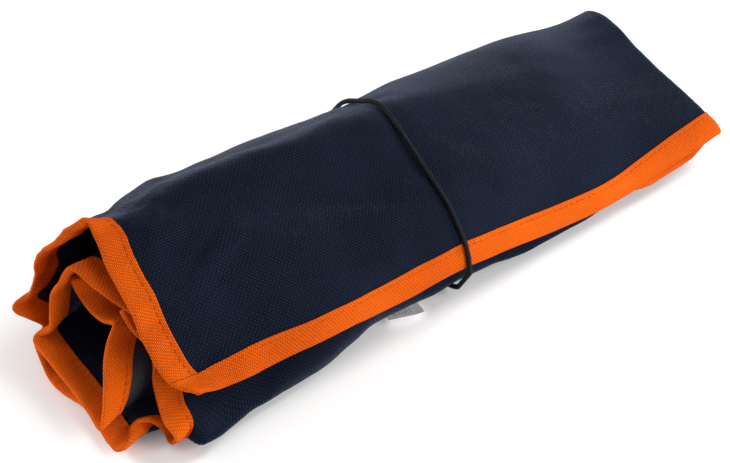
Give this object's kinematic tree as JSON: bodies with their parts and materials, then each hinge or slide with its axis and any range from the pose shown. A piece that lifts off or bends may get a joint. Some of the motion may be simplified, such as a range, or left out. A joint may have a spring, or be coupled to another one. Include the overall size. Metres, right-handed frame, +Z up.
{
  "type": "saddle sandbag",
  "caption": "Empty saddle sandbag: two flat fabric pockets joined at a saddle, bound in tape, folded, rolled into a flat bundle and held by an elastic cord.",
  "frame": {"origin": "centre of the bounding box in X and Y, at the surface the rolled bag lies on", "axes": "+X along the roll from its loose end to the folded saddle; +Y from the flap's edge to the roll's back; +Z up"},
  "size_m": [0.3454, 0.1146, 0.0841],
  "materials": {
    "navy_fabric": "coarse plain weave with a dull sheen",
    "orange_tape": "ribbed woven tape, one row of stitches",
    "black_webbing": "woven tape",
    "zip_coil_nylon": "coiled filament",
    "painted_metal": "black enamel, worn at the edges",
    "elastic_cord": "braided sleeve over rubber",
    "white_label": null
  },
  "bodies": {
    "bag": {"base_panel": "navy_fabric", "carry_handle": "black_webbing", "core_edge_binding": "orange_tape", "end_binding_a": "orange_tape", "end_binding_b": "orange_tape", "flap_edge_binding": "orange_tape", "pocket_face_a": "navy_fabric", "pocket_face_b": "navy_fabric", "zip_coil_a": "zip_coil_nylon", "zip_coil_b": "zip_coil_nylon", "zip_stop_a": "painted_metal", "zip_stop_b": "painted_metal", "zip_tape_a_1": "black_webbing", "zip_tape_a_2": "black_webbing", "zip_tape_b_1": "black_webbing", "zip_tape_b_2": "black_webbing"},
    "tie": {"tie_cord": "elastic_cord", "tie_knot": "elastic_cord", "tie_end_1": "elastic_cord", "tie_end_2": "elastic_cord"},
    "slider_a": {"zip_slider_a": "painted_metal", "zip_pull_a": "painted_metal"},
    "slider_b": {"zip_slider_b": "painted_metal", "zip_pull_b": "painted_metal"},
    "label": {"barcode_label": "white_label"}
  },
  "joints": [
    {"name": "tie_slide", "type": "slide", "parent": "bag", "child": "tie", "axis": [1, 0, 0], "range_m": [0, 0.018]},
    {"name": "zip_slide_a", "type": "slide", "parent": "bag", "child": "slider_a", "axis": [-0.0156, 0.941, 0.338], "range_m": [0, 0.007]},
    {"name": "zip_slide_b", "type": "slide", "parent": "bag", "child": "slider_b", "axis": [0.0117, 0.9646, 0.2636], "range_m": [0, 0.009]},
    {"name": "label_hinge", "type": "hinge", "parent": "bag", "child": "label", "pos_m": [-0.0212, -0.022, 0.0004], "axis": [1, 0, 0], "range_deg": [0, 60]}
  ]
}
